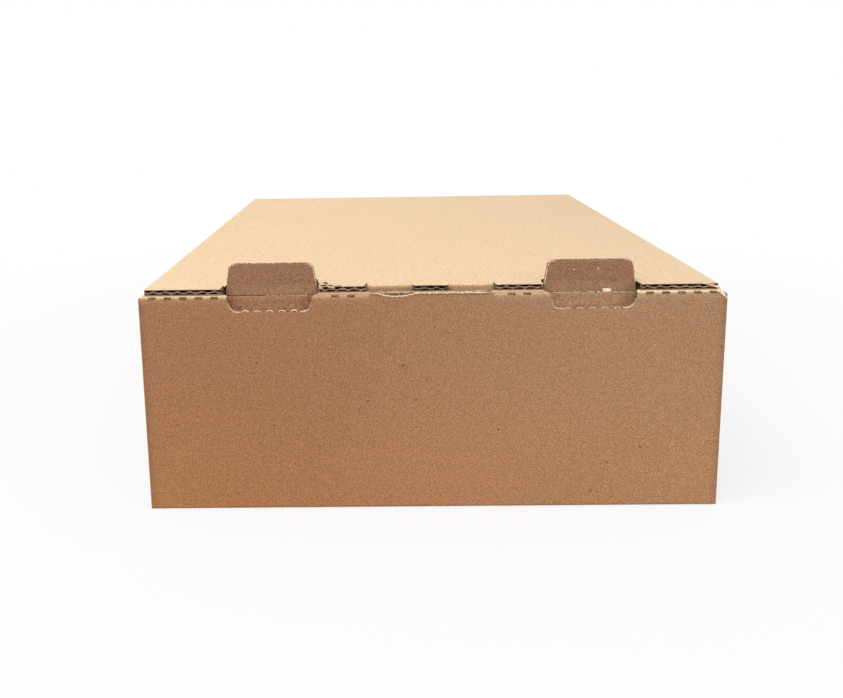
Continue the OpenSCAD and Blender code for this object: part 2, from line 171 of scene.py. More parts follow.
class Nodes:
    """Adds and links shader nodes in one tree."""

    def __init__(self, tree: bpy.types.NodeTree) -> None:
        """Keeps the tree.

        Args:
            tree: node tree that new nodes go into.
        """
        self.tree = tree

    def add(self, kind: str, inputs: dict | None = None, **settings) -> bpy.types.Node:
        """Adds one node.

        Args:
            kind: Blender's type name of the node.
            inputs: socket name or index to a value, or to a socket to link from.
            settings: attributes to set on the node.

        Returns:
            The new node.
        """
        node = self.tree.nodes.new(kind)
        for name, value in settings.items():
            setattr(node, name, value)
        for key, value in (inputs or {}).items():
            if isinstance(value, Socket):
                self.tree.links.new(value, node.inputs[key])
            else:
                node.inputs[key].default_value = value
        return node

    def math(self, operation: str, a: Mask, b: Mask = 0.0, c: Mask = 0.0, **settings) -> Socket:
        """Result of a Math node."""
        made = self.add("ShaderNodeMath", {0: a, 1: b, 2: c}, operation=operation, **settings)
        return made.outputs[0]

    def mul(self, a: Mask, b: Mask) -> Socket:
        """Product of two values."""
        return self.math("MULTIPLY", a, b)

    def plus(self, a: Mask, b: Mask) -> Socket:
        """Sum of two values."""
        return self.math("ADD", a, b)

    def sub(self, a: Mask, b: Mask) -> Socket:
        """First value less the second."""
        return self.math("SUBTRACT", a, b)

    def fma(self, a: Mask, b: Mask, c: Mask) -> Socket:
        """Product of two values plus a third."""
        return self.math("MULTIPLY_ADD", a, b, c)

    def size(self, value: Mask) -> Socket:
        """Value without its sign."""
        return self.math("ABSOLUTE", value)

    def above(self, value: Mask, limit: float) -> Socket:
        """1 where a value is over a limit."""
        return self.math("GREATER_THAN", value, limit)

    def below(self, value: Mask, limit: float) -> Socket:
        """1 where a value is under a limit."""
        return self.math("LESS_THAN", value, limit)

    def all_of(self, *masks: Mask) -> Socket:
        """Product of several masks."""
        total = masks[0]
        for mask in masks[1:]:
            total = self.mul(total, mask)
        return total

    def any_of(self, *masks: Mask) -> Socket:
        """Largest of several masks."""
        total = masks[0]
        for mask in masks[1:]:
            total = self.math("MAXIMUM", total, mask)
        return total

    def ramp(self, value: Mask, low: float, high: float) -> Socket:
        """Smooth step of a value from 0 at low to 1 at high; low may be the larger."""
        spread = {"Value": value, "From Min": low, "From Max": high}
        made = self.add("ShaderNodeMapRange", spread, interpolation_type="SMOOTHSTEP")
        return made.outputs["Result"]

    def band(self, value: Mask, low: float, high: float, soft: float) -> Socket:
        """1 between low and high, with soft ends."""
        up = self.ramp(value, low - soft, low + soft)
        return self.mul(up, self.ramp(value, high + soft, high - soft))

    def mix(self, factor: Mask, a: Colour, b: Colour, blend: str = "MIX") -> Socket:
        """Mixes two colours, each given plain or as a socket."""
        plain = [value if isinstance(value, Socket) else (*value, 1) for value in (a, b)]
        inputs = {0: factor, 6: plain[0], 7: plain[1]}
        return self.add("ShaderNodeMix", inputs, data_type="RGBA", blend_type=blend).outputs[2]

    def grey(self, level: Mask) -> Socket:
        """Colour with the same value in every channel."""
        return self.add("ShaderNodeCombineColor", {0: level, 1: level, 2: level}).outputs[0]

    def noise(self, vector: Socket, scale: float, detail: float = 2, rough: float = 0.5) -> Socket:
        """Noise texture value, 0 to 1."""
        inputs = {"Vector": vector, "Scale": scale, "Detail": detail, "Roughness": rough}
        return self.add("ShaderNodeTexNoise", inputs).outputs[0]

    def matt(self, colour: Socket, roughness: Mask, specular: float, **inputs) -> None:
        """Ends a material in a matt surface."""
        inputs |= {"Base Color": colour, "Roughness": roughness, "Specular IOR Level": specular}
        shader = self.add("ShaderNodeBsdfPrincipled", inputs)
        self.add("ShaderNodeOutputMaterial", {"Surface": shader.outputs[0]})

    def blend(
        self, output: str, factor: Mask, first: bpy.types.Node, second: bpy.types.Node,
    ) -> None:
        """Ends a tree in a mix of two shaders."""
        inputs = {0: factor, 1: first.outputs[0], 2: second.outputs[0]}
        both = self.add("ShaderNodeMixShader", inputs)
        self.add(output, {"Surface": both.outputs[0]})


def new_material(name: str) -> tuple[bpy.types.Material, Nodes]:
    """Makes a material with an empty tree, and the wrapper of that tree."""
    material = bpy.data.materials.new(name)
    material.use_nodes = True
    material.node_tree.nodes.clear()
    return material, Nodes(material.node_tree)


def new_object(name: str, data: bpy.types.ID) -> bpy.types.Object:
    """Makes an object and puts it into the scene."""
    made = bpy.data.objects.new(name, data)
    bpy.context.scene.collection.objects.link(made)
    return made


def new_group(name: str, output: str, inputs: dict[str, float | None]) -> tuple:
    """Starts a shader node group that puts out one value.

    Args:
        name: name of the group.
        output: name of the value.
        inputs: default of each input, or None for a vector.

    Returns:
        The group, its Nodes wrapper, its inputs' sockets and its output's socket.
    """
    group = bpy.data.node_groups.new(name, "ShaderNodeTree")
    for label, default in inputs.items():
        kind = "NodeSocketVector" if default is None else "NodeSocketFloat"
        socket = group.interface.new_socket(label, in_out="INPUT", socket_type=kind)
        if default is not None:
            socket.default_value = default
    group.interface.new_socket(output, in_out="OUTPUT", socket_type="NodeSocketFloat")
    n = Nodes(group)
    return group, n, n.add("NodeGroupInput").outputs, n.add("NodeGroupOutput").inputs[0]


def fibre_group() -> bpy.types.NodeTree:
    """Paper fibre: a tone round 0.5, which is also the height of the felted surface."""
    group, n, given, sink = new_group("paper_fibre", "Tone", {"Vector": None})
    total = n.mul(n.noise(given["Vector"], 1100, 3, 0.65), 0.5)
    for turn, share in ((0.5, 0.2), (1.7, 0.15), (2.6, 0.15)):
        inputs = {"Vector": given["Vector"], "Rotation": (turn, turn * 0.7, turn)}
        turned = n.add("ShaderNodeMapping", inputs).outputs[0]
        long = n.add("ShaderNodeVectorMath", {0: turned, 1: (1, 0.16, 1)}, operation="MULTIPLY")
        total = n.plus(total, n.mul(n.noise(long.outputs[0], 1500, 1.5), share))
    n.tree.links.new(total, sink)
    return group


def flute_group() -> bpy.types.NodeTree:
    """Wash-boarding: the liner sinks a little between the flute tips under it."""
    inputs = {"Vector": None, "Across": 0.0, "Pitch": 6.3 * MM}
    group, n, given, sink = new_group("washboard", "Height", inputs)
    phase = n.math("DIVIDE", given["Across"], given["Pitch"])
    wobble = n.mul(n.noise(given["Vector"], 9, 1), 0.5)
    angle = n.mul(n.plus(phase, wobble), 2 * math.pi)
    wave = n.fma(n.math("COSINE", angle), 0.5, 0.5)
    patchy = n.ramp(n.noise(given["Vector"], 22, 2), 0.3, 0.7)
    n.tree.links.new(n.mul(wave, n.fma(patchy, 0.7, 0.3)), sink)
    return group


def speck_group() -> bpy.types.NodeTree:
    """Scattered specks: a mask of small spots, one in some cells of a grid."""
    inputs = {"Vector": None, "Density": 100.0, "Share": 0.3, "Radius": 0.05}
    group, n, given, sink = new_group("specks", "Mask", inputs)
    push = n.mul(n.sub(n.noise(given["Vector"], 1900, 1), 0.5), 0.06)
    grid = {"Vector": given["Vector"], "Scale": given["Density"]}
    cell = n.add("ShaderNodeTexVoronoi", grid).outputs
    picked = n.add("ShaderNodeSeparateColor", {0: cell["Color"]}).outputs
    reach = n.mul(picked[1], given["Radius"])
    spot = n.below(n.plus(cell["Distance"], push), reach)
    n.tree.links.new(n.mul(spot, n.below(picked[0], given["Share"])), sink)
    return group


def core_group() -> bpy.types.NodeTree:
    """Cut board: 1 where a surface lies between the two liners of a folded ply.

    Across runs out from the fold's pivot towards the outer face, Up runs along
    the ply past the pivot, and Round is the fold's outer radius.
    """
    inputs = {"Across": 0.0, "Up": 0.0, "Board": 3 * MM, "Round": 1.5 * MM}
    group, n, given, sink = new_group("between_liners", "Mask", inputs)
    flat = n.sub(given["Board"], given["Round"])
    out, up = (n.any_of(given[name], 0.0) for name in ("Across", "Up"))
    past_out, past_up = (n.any_of(n.sub(value, flat), 0.0) for value in (out, up))
    square = n.plus(n.mul(past_out, past_out), n.mul(past_up, past_up))
    straight = n.math("MINIMUM", n.any_of(out, up), flat)
    reach = n.plus(straight, n.math("SQRT", square))
    share = n.math("DIVIDE", reach, given["Board"])
    n.tree.links.new(n.band(share, LINER_SHARE, 1 - LINER_SHARE, LINER_SOFT), sink)
    return group


@dataclass(frozen=True)
class Effects:
    """The shared node groups, made once."""

    fibre: bpy.types.NodeTree
    flutes: bpy.types.NodeTree
    specks: bpy.types.NodeTree
    core: bpy.types.NodeTree


@dataclass(frozen=True)
class Speck:
    """One kind of speck: its colour, how far it covers, and the group's settings."""

    colour: Colour
    cover: float
    density: float
    share: float
    radius: float


@dataclass(frozen=True)
class BoardFinish:
    """Colours and relief of kraft board.

    The drift is a factor on the colour at the lower left and right and at the
    upper left and right of the front. On the tray it is partly painted light,
    darker at the upper left and lighter at the lower right, and partly a change of tint.
    """

    name: str
    face: Colour
    # Painted light: a lighter brown for faces that catch more light
    lit_face: Colour
    # Painted light: the colour of surfaces that face up
    top: Colour
    # Cut edges are dark: partly the raw board's own tone, partly painted shade of the open flutes
    cut: Colour
    pale_cut: Colour
    # Painted shade: near black inside the open flutes
    cell: Colour
    # Painted shade: dark tone inside the slits and beside them
    slit: Colour
    # Painted light: share of the top tone on the front face below the fold
    fold_painted_light: float
    drift: tuple[Colour, Colour, Colour, Colour]
    top_from: float = 100 * MM
    fade: float = 5 * MM
    warm: Colour = (1.025, 0.995, 0.965)
    cool: Colour = (0.98, 1.0, 1.02)
    hue_scale: float = 210
    specks: tuple[Speck, ...] = (
        Speck((0.16, 0.08, 0.045), 0.8, 120.0, 0.35, 0.075),
        Speck((0.86, 0.66, 0.44), 0.3, 210.0, 0.3, 0.09),
    )
    cut_cover: float = 0.92
    cell_cover: float = 0.97
    torn_scale: float = 620
    grain: float = 3.3
    mottle: float = 0.32
    mottle_scale: float = 330
    cloud: float = 0.16
    cloud_scale: float = 9
    calm_top: float = 0.55
    relief: float = 0.12 * MM
    washboard: float = 0.05 * MM
    roughness: float = 0.72
    rough_swing: float = 0.2
    specular: float = 0.2


@dataclass(frozen=True)
class Masks:
    """Where one board material shows what.

    Attributes:
        cut: raw cut edges.
        cell: walls inside open flutes, painted near black as painted shade.
        across: coordinate that runs across the flutes.
        pale: raw edges where torn pale paper shows.
        lift: faces painted a lighter brown as painted light, where they would catch more light
            than the plain face.
        slit: walls inside the slits, painted dark as painted shade.
        crown: how far a surface that faces up shows the bright top tone, which is painted light.
        glow: front face where it rounds into the fold, which painted light brightens towards the
            top tone.
        painted_shade: how far a surface gets painted shade beside the slits, under the notch's rim
            and at the front corners.
    """

    cut: Mask
    cell: Mask
    across: Mask
    pale: Mask
    lift: Mask
    slit: Mask = 0.0
    crown: Mask = 1.0
    glow: Mask = 0.0
    painted_shade: Mask = 0.0


class BoardMaterial:
    """Builds the material of one CAD node from a finish."""

    def __init__(self, finish: BoardFinish, sheet: Sheet, effects: Effects) -> None:
        """Keeps what the material is made from, and starts its tree.

        Args:
            finish: colours and relief.
            sheet: sizes of the board.
            effects: shared node groups.
        """
        self.finish, self.sheet, self.effects = finish, sheet, effects
        self.material, self.n = new_material(finish.name)
        n = self.n
        coord = n.add("ShaderNodeTexCoord").outputs
        self.place = coord["Object"]
        self.x, self.y, self.z = n.add("ShaderNodeSeparateXYZ", {0: self.place}).outputs
        turned_x, self.ny, self.nz = n.add("ShaderNodeSeparateXYZ", {0: coord["Normal"]}).outputs
        self.side = n.size(self.x)
        self.steep = n.size(turned_x)

    def group(self, tree: bpy.types.NodeTree, **inputs) -> Socket:
        """Places a shared node group and returns its output."""
        return self.n.add("ShaderNodeGroup", inputs, node_tree=tree).outputs[0]

    def finish_up(self, masks: Masks) -> bpy.types.Material:
        """Puts colour, painted light and shade, specks, roughness and bump together."""
        n, look, top = self.n, self.finish, self.sheet.wall_top
        tone = self.group(self.effects.fibre, Vector=self.place)
        # Painted light: the front face brightens towards the top tone where it rounds into the
        # fold
        glow = n.all_of(n.ramp(self.z, top - look.fade, top), masks.glow, look.fold_painted_light)
        # Painted light: surfaces that face up take the bright top tone
        painted_top_light = n.any_of(n.mul(n.ramp(self.nz, 0.35, 0.95), masks.crown), glow)
        up = n.all_of(painted_top_light, n.above(self.z, look.top_from), n.above(self.nz, -LEVEL))
        # Painted light: lifted faces get the lighter brown
        colour = n.mix(up, n.mix(masks.lift, look.face, look.lit_face), look.top)
        hue = n.ramp(n.noise(self.place, look.hue_scale, 2, 0.6), 0.3, 0.7)
        for tint in (self.shade(tone, up), self.wide_drift(), n.mix(hue, look.warm, look.cool)):
            colour = n.mix(1.0, colour, tint, "MULTIPLY")
        for kind in look.specks:
            spots = self.group(
                self.effects.specks, Vector=self.place,
                Density=kind.density, Share=kind.share, Radius=kind.radius,
            )
            colour = n.mix(n.mul(spots, kind.cover), colour, kind.colour)
        # Painted shade: dark slit tone beside slits, under the notch rim and at the corners; near
        # black in the flutes; dark in the slits
        for mask, paint in (
            (masks.painted_shade, look.slit),
            (n.mul(masks.cut, look.cut_cover), self.raw(masks.pale)),
            (n.mul(masks.cell, look.cell_cover), look.cell),
            (masks.slit, look.slit),
        ):
            colour = n.mix(mask, colour, paint)
        wash = self.group(
            self.effects.flutes, Vector=self.place, Across=masks.across, Pitch=self.sheet.pitch,
        )
        height = n.plus(n.mul(tone, look.relief), n.mul(wash, look.washboard))
        bump = n.add("ShaderNodeBump", {"Height": height, "Distance": 1.0, "Strength": 1.0})
        rough = n.math("MULTIPLY_ADD", tone, look.rough_swing, look.roughness, use_clamp=True)
        n.matt(colour, rough, look.specular, Normal=bump.outputs[0])
        return self.material

    def shade(self, tone: Socket, up: Socket) -> Socket:
        """Grey factor round 1 from fibres, mottling and wide clouds."""
        n, look = self.n, self.finish
        total = n.mul(n.sub(tone, 0.5), look.grain)
        for scale, rough, strength in (
            (look.mottle_scale, 0.6, look.mottle), (look.cloud_scale, 0.5, look.cloud),
        ):
            patch = n.sub(n.noise(self.place, scale, 2, rough), 0.5)
            total = n.plus(total, n.mul(patch, strength))
        return n.grey(n.fma(total, n.fma(up, -look.calm_top, 1.0), 1.0))

    def raw(self, pale: Mask) -> Socket:
        """Colour of cut board: dark, partly its own tone and partly painted shade of the open
        flutes, with paler torn fibre here and there.
        """
        n, look = self.n, self.finish
        torn = n.ramp(n.noise(self.place, look.torn_scale, 2, 0.6), 0.5, 0.66)
        plain = n.mix(n.mul(torn, 0.6), look.cut, look.pale_cut)
        return n.mix(n.mul(pale, 0.85), plain, look.pale_cut)

    def wide_drift(self) -> Socket:
        """Slow change of tone over the whole body, set at its four front corners; partly painted
        light and partly a change of tint.
        """
        n, s = self.n, self.sheet
        high = n.ramp(self.z, 0.0, s.wall_top)
        low_left, low_right, high_left, high_right = self.finish.drift
        ends = n.mix(high, low_left, high_left), n.mix(high, low_right, high_right)
        return n.mix(n.ramp(self.x, -s.half_w, s.half_w), *ends)


class TrayMaterial(BoardMaterial):
    """Board of the tray: bottom and four walls."""

    def build(self) -> bpy.types.Material:
        """Marks the tray's cut edges and finishes the material."""
        n, s = self.n, self.sheet
        rise = n.sub(self.z, s.fold_z)
        between = n.below(self.side, s.inner_x)
        behind = n.above(self.y, s.inner_y + 0.5 * s.gap)
        past_notch = n.above(self.side, s.notch_w / 2)
        beside = n.above(n.size(n.sub(self.side, s.tab_x)), s.window_back_w / 2)
        front = self._ply(n.sub(s.ply_back_y, self.y), n.mul(rise, past_notch))
        inner = self._ply(
            n.sub(self.y, s.inner_y - s.board), n.all_of(rise, past_notch, beside),
            between, n.below(self.y, s.inner_y),
        )
        side = self._ply(n.sub(self.side, s.half_w - s.board), rise, behind)
        roll = self._ply(
            n.sub(s.inner_x + s.board, self.side), rise, behind,
            n.below(self.y, s.half_d - s.board), n.above(self.side, s.inner_x),
        )
        along_z, along_y = (n.below(n.size(value), LEVEL) for value in (self.nz, self.ny))
        front_cell = n.all_of(n.any_of(front, inner), along_z, between)
        flat_side = n.below(self.side, s.half_w - 1.0 * MM)
        side_cell = n.all_of(side, along_y, flat_side, n.above(self.y, 0))
        axes = {0: n.above(self.steep, STEEP), 2: self.x, 3: self.z}
        window_low = n.ramp(self.z, s.wall_top - 0.3 * s.window_h, s.wall_top - s.window_h)
        inset = n.size(n.sub(self.y, s.inner_y - s.board))
        soft_end = n.ramp(self.side, s.notch_w / 2 - 4 * MM, s.notch_w / 2 + 2 * MM)
        return self.finish_up(Masks(
            cut=n.any_of(front, inner, side, roll),
            # Painted shade: near black inside the open flutes
            cell=n.any_of(front_cell, side_cell),
            across=n.add("ShaderNodeMix", axes, data_type="FLOAT").outputs[0],
            pale=n.below(self.y, s.ply_back_y + 0.1 * MM),
            # Painted light: a lighter brown on the inner ply low in the windows
            lift=n.all_of(window_low, n.ramp(inset, 0.3 * MM, 0.1 * MM)),
            # Painted shade: dark walls inside the slits
            slit=self._slit(),
            # Painted light: bright top tone on the flat top
            crown=self._crown(),
            # Painted light on the front face where it rounds into the fold
            glow=n.all_of(n.below(self.ny, -0.2), soft_end),
            # Painted shade beside the slits, under the notch's rim and at the front corners
            painted_shade=n.any_of(self._painted_slit_shade(), self._painted_notch_shadow(), self._corner_shade()),
        ))

    def _ply(self, across: Socket, up: Socket, *limits: Socket) -> Socket:
        """Mask of the cut edges of one folded ply, clear of the bottom panel.

        Args:
            across: distance out from the fold's pivot.
            up: distance past the pivot along the ply.
            limits: masks that hold the ply to its place.
        """
        n, s = self.n, self.sheet
        core = self.group(self.effects.core, Across=across, Up=up, Board=s.board)
        return n.all_of(core, n.above(self.z, 1.1 * s.board), n.above(across, 0), *limits)

    def _slit(self) -> Socket:
        """Walls of the slits, which slope back through the corner of the fold; they get the dark
        slit colour as painted shade.
        """
        n, s = self.n, self.sheet
        sloping = n.above(n.mul(self.ny, self.nz), 0.3)
        ends = n.all_of(
            n.above(self.steep, 0.9), n.below(self.side, s.half_w - s.board),
            n.above(self.side, s.tab_x + s.tab_w / 2),
        )
        return n.all_of(self._on_corner(), n.any_of(sloping, ends))

    def _on_corner(self) -> Socket:
        """Front ply above the pivot of its fold."""
        n, s = self.n, self.sheet
        return n.all_of(n.below(self.y, s.ply_back_y), n.above(self.z, s.fold_z))

    def _painted_slit_shade(self) -> Socket:
        """Painted shade round each slit, which stretches back on the inner ones."""
        n, s = self.n, self.sheet
        outside = n.above(self.side, s.tab_x)
        first = n.fma(outside, s.slit_out_x - s.slit_in_x, s.slit_in_x)
        along = n.math("PINGPONG", n.sub(self.side, first), s.slit_pitch / 2)
        length = n.ramp(along, 0.55 * s.slit_l, 0.45 * s.slit_l)
        inner_end = s.slit_in_x + s.slit_pitch + s.slit_l
        there = n.any_of(
            n.band(self.side, s.slit_in_x - s.slit_l, inner_end, 0.1 * MM),
            n.above(self.side, s.slit_out_x - s.slit_l),
        )
        slant = n.sub(n.sub(self.z, s.fold_z), n.sub(s.ply_back_y, self.y))
        off = n.size(n.sub(slant, n.fma(outside, -1.0 * MM, 1.3 * MM)))
        near = n.ramp(off, 2.4 * MM, 1.0 * MM)
        return n.all_of(near, length, there, self._on_corner(), 0.62)

    def _painted_notch_shadow(self) -> Socket:
        """Painted shadow: thin dark line on the front face under the notch's ragged rim."""
        n, s = self.n, self.sheet
        top = s.wall_top + s.notch_rise
        line = n.band(self.z, top - 1.3 * MM, top - 0.5 * MM, 0.35 * MM)
        inside = n.below(self.side, s.notch_w / 2 - 1 * MM)
        return n.all_of(line, inside, n.below(self.ny, -LEVEL), 0.4)

    def _corner_shade(self) -> Socket:
        """Painted shade: slightly darker where the front wall rounds into the side walls."""
        n, s = self.n, self.sheet
        wide = 5 * MM
        edge = n.ramp(self.side, s.half_w - wide, s.half_w)
        return n.all_of(edge, n.below(self.y, wide - s.half_d), n.below(self.z, s.fold_z), 0.24)

    def _crown(self) -> Socket:
        """Share of the painted top light on the flat top: it is lost where the top rolls to the
        front, and is weaker further back.
        """
        n, s = self.n, self.sheet
        rolls = n.fma(n.above(self.side, s.tab_x), -5.1 * MM, -s.half_d + 6.0 * MM)
        back = n.ramp(n.sub(self.y, rolls), -0.8 * MM, 0.5 * MM)
        behind = n.ramp(self.y, s.inner_y + 1 * MM, s.inner_y + 9 * MM)
        return n.mul(n.fma(back, 0.72, 0.28), n.fma(behind, -0.35, 1.0))


class LidMaterial(BoardMaterial):
    """Board of the lid: panel, tuck flap and standing tabs."""

    def build(self) -> bpy.types.Material:
        """Marks the lid's cut edges and finishes the material."""
        n, s = self.n, self.sheet
        share = n.math("DIVIDE", n.sub(self.z, s.lid_z), s.board)
        soft = 0.3 * MM
        shoulder = n.any_of(
            n.below(self.side, s.strip_in_x),
            n.band(self.side, s.strip_out_x, s.tab_x - s.tab_w / 2, soft),
            n.above(self.side, s.tab_x + s.tab_w / 2 + soft),
        )
        panel = n.all_of(
            n.band(share, LINER_SHARE, 1 - LINER_SHARE, LINER_SOFT),
            n.any_of(n.above(self.y, s.crease_y - 0.05 * MM), shoulder),
            n.below(self.y, s.hinge_y - 0.2 * MM),
        )
        sideways = n.all_of(n.above(self.steep, STEEP), n.below(self.y, s.hinge_y))
        flap_end = n.all_of(n.below(self.z, s.lid_z - 40 * MM), n.below(self.nz, -LEVEL))
        tall = n.above(self.z, s.lid_top + 2 * MM)
        # The bites' floor faces up, close under the upper liner, and isn't a flute
        bared = n.all_of(n.above(self.nz, 0.9), n.above(self.z, s.lid_top - 0.62 * MM))
        strip = n.all_of(
            n.band(self.side, s.strip_in_x, s.strip_out_x, 0.2 * MM),
            n.below(self.y, s.crease_y), n.above(self.z, s.lid_z - 8 * MM),
        )
        tab_foot = n.ramp(self.z, s.lid_z + 6 * MM, s.lid_z - 2 * MM)
        return self.finish_up(Masks(
            cut=n.mul(n.any_of(panel, sideways, flap_end), n.sub(1.0, tall)),
            # Painted shade: near black inside the open flutes
            cell=n.all_of(
                panel, n.below(n.size(self.ny), LEVEL), n.sub(1.0, bared),
                n.above(self.x, s.lid_left + soft), n.below(self.x, s.lid_right - soft),
            ),
            across=self.x,
            pale=tall,
            # Painted light: a lighter brown on the flap strips in the notch and on the tabs' feet
            lift=n.any_of(strip, n.mul(tab_foot, 0.45)),
        ))


TRAY_FINISH = BoardFinish(
    name="tray_kraft",
    face=(0.50, 0.255, 0.122),
    lit_face=(0.63, 0.34, 0.175),
    top=(1.0, 0.785, 0.45),
    cut=(0.15, 0.09, 0.055),
    pale_cut=(0.62, 0.42, 0.26),
    cell=(0.06, 0.035, 0.022),
    slit=(0.15, 0.07, 0.036),
    fold_painted_light=0.14,
    drift=((1.0, 0.91, 0.81), (1.09, 1.10, 1.12), (0.86, 0.81, 0.85), (0.96, 1.04, 1.18)),
)
LID_FINISH = BoardFinish(
    name="lid_kraft",
    # Painted shade: darker than the tray's face though it is the same kraft, for the leaning tabs
    # that get less light
    face=(0.40, 0.205, 0.118),
    lit_face=(0.70, 0.42, 0.235),
    top=(0.85, 0.625, 0.395),
    cut=(0.13, 0.08, 0.062),
    pale_cut=(0.48, 0.34, 0.25),
    cell=(0.012, 0.008, 0.006),
    slit=(0.13, 0.07, 0.04),
    fold_painted_light=0.0,
    drift=((1.0, 1.0, 1.0), (1.0, 1.0, 1.0), (1.02, 1.02, 1.02), (0.98, 0.98, 1.01)),
)


class Paper(Enum):
    """Loose or torn paper, and dark sheets of painted shade: name, colour, unevenness of tone, and
    its scale.
    """

    BRIGHT = ("bright_paper", (0.99, 0.84, 0.60), 0.3, 900.0)
    PALE = ("torn_paper", (0.92, 0.70, 0.47), 0.4, 900.0)
    KRAFT = ("kraft_paper", (0.42, 0.24, 0.14), 0.5, 900.0)
    MEDIUM = ("medium_paper", (0.38, 0.28, 0.22), 0.8, 500.0)
    # Painted shade: near-black sheets put where the board lies in shade
    DARK = ("crushed_core", (0.10, 0.062, 0.045), 0.9, 900.0)
    WHITE = ("white_paper", (0.97, 0.88, 0.70), 0.15, 900.0)

    def build(self) -> bpy.types.Material:
        """Makes the material: matt paper, a little uneven in tone."""
        name, colour, spread, scale = self.value
        material, n = new_material(name)
        place = n.add("ShaderNodeTexCoord").outputs["Object"]
        tone = n.sub(n.noise(place, scale, 2, 0.6), 0.5)
        shade = n.grey(n.fma(tone, 2 * spread, 1.0))
        n.matt(n.mix(1.0, colour, shade, "MULTIPLY"), 0.9, 0.15)
        return material


Papers = dict[Paper, bpy.types.Material]


@dataclass(frozen=True)
class PhotoCamera:
    """The photograph's camera, fitted to the corners of box and lid."""

    focal_px: float = 908.5
    sensor_w: float = 36.0
    centre_px: tuple[float, float] = (374.2, 262.0)
    place: tuple[float, float, float] = (-20.1 * MM, -651.4 * MM, 219.3 * MM)
    pitch: float = math.radians(-10.78)
    roll: float = math.radians(0.95)
    yaw: float = math.radians(1.09)
    clip: tuple[float, float] = (0.01, 50)

    def build(self) -> None:
        """Makes the camera and sets it as the scene's."""
        data = bpy.data.cameras.new("photo_camera")
        data.sensor_fit = "HORIZONTAL"
        data.sensor_width = self.sensor_w
        data.lens = self.focal_px / PHOTO_W * self.sensor_w
        data.shift_x = (PHOTO_W / 2 - self.centre_px[0]) / PHOTO_W
        data.shift_y = (self.centre_px[1] - PHOTO_H / 2) / PHOTO_W
        data.clip_start, data.clip_end = self.clip
        turn = (
            Matrix.Rotation(self.yaw, 3, "Z")
            @ Matrix.Rotation(self.pitch, 3, "X")
            @ Matrix.Rotation(self.roll, 3, "Y")
        )
        basis = Matrix((turn @ RIGHT, turn @ -DOWN, turn @ -BACK)).transposed()
        camera = new_object("photo_camera", data)
        camera.matrix_world = Matrix.Translation(self.place) @ basis.to_4x4()
        bpy.context.scene.camera = camera


@dataclass(frozen=True)
class Lamp:
    """One soft square lamp that looks at the box."""

    name: str
    place: tuple[float, float, float]
    size: float
    power: float
    target: tuple[float, float, float] = (0, 0, 0.08)

    def build(self) -> None:
        """Makes the lamp."""
        data = bpy.data.lights.new(self.name, "AREA")
        data.shape = "RECTANGLE"
        data.size = data.size_y = self.size
        data.energy = self.power
        lamp = new_object(self.name, data)
        lamp.location = self.place
        aim = Vector(self.target) - Vector(self.place)
        lamp.rotation_euler = aim.to_track_quat("-Z", "Y").to_euler()


@dataclass(frozen=True)
class Studio:
    """Pale floor, white surroundings and soft lamps."""

    floor_half: float = 4.0
    floor_drop: float = 0.2 * MM
    floor_bounce: Colour = (0.5, 0.5, 0.5)
    floor_look: Colour = (0.9, 0.9, 0.9)
    glow: float = 0.76
    shadow_reach: tuple[float, float] = (0.3, 0.75)
    sky: float = 0.62
    lamps: tuple[Lamp, ...] = (
        Lamp("key", (-0.9, -1.0, 2.2), 1.6, 32.0),
        Lamp("fill", (1.7, -1.8, 0.5), 1.2, 8.5),
    )

    def build(self) -> None:
        """Makes world, floor and lamps."""
        bpy.context.scene.view_settings.view_transform = "Standard"
        self._world()
        self._floor()
        for lamp in self.lamps:
            lamp.build()

    def _seen(self, n: Nodes) -> Socket:
        """1 for rays that show a background: camera, mirror and clear glass."""
        path = n.add("ShaderNodeLightPath").outputs
        return n.any_of(*(path[f"Is {kind} Ray"] for kind in ("Camera", "Glossy", "Transmission")))

    def _world(self) -> None:
        """White surroundings; the light they give is set apart from their look."""
        world = bpy.data.worlds.new("studio")
        world.use_nodes = True
        bpy.context.scene.world = world
        world.node_tree.nodes.clear()
        n = Nodes(world.node_tree)
        light, look = (
            n.add("ShaderNodeBackground", {"Color": WHITE, "Strength": strength})
            for strength in (self.sky, 1.0)
        )
        n.blend("ShaderNodeOutputWorld", self._seen(n), light, look)

    def _floor(self) -> None:
        """A large pale floor that keeps a light shadow."""
        mesh = bpy.data.meshes.new("floor")
        shape = bmesh.new()
        bmesh.ops.create_grid(shape, x_segments=1, y_segments=1, size=self.floor_half)
        bmesh.ops.translate(shape, verts=shape.verts, vec=DOWN * self.floor_drop)
        shape.to_mesh(mesh)
        shape.free()
        floor = new_object("floor", mesh)
        material, n = new_material("pale_floor")
        seen = self._seen(n)
        tint = n.mix(seen, self.floor_bounce, self.floor_look)
        paint = n.add("ShaderNodeBsdfDiffuse", {"Color": tint})
        glow = n.add("ShaderNodeEmission", {"Color": WHITE, "Strength": 1.0})
        place = n.add("ShaderNodeTexCoord").outputs["Object"]
        far = n.add("ShaderNodeVectorMath", {0: place}, operation="LENGTH").outputs["Value"]
        away = n.ramp(far, *self.shadow_reach)
        share = n.mul(seen, n.fma(away, 1 - self.glow, self.glow))
        n.blend("ShaderNodeOutputMaterial", share, paint, glow)
        mesh.materials.append(material)


@dataclass(frozen=True)
class Plane:
    """A face of the box: where it starts and how it lies."""

    origin: Vector
    across: Vector
    up: Vector
    out: Vector

    def at(self, x: float, y: float, depth: float = 0.0) -> Vector:
        """Place of a point given in the plane, moved out of it by depth."""
        return self.origin + self.across * x + self.up * y + self.out * depth


def front_plane(x: float, y: float, z: float, up: int = 1) -> Plane:
    """Plane that faces the front, with its origin at a point.

    Args:
        x, y, z: origin.
        up: 1 for up, -1 for a plane drawn downwards.
    """
    return Plane(Vector((x, y, z)), RIGHT, Vector((0, 0, up)), -BACK)


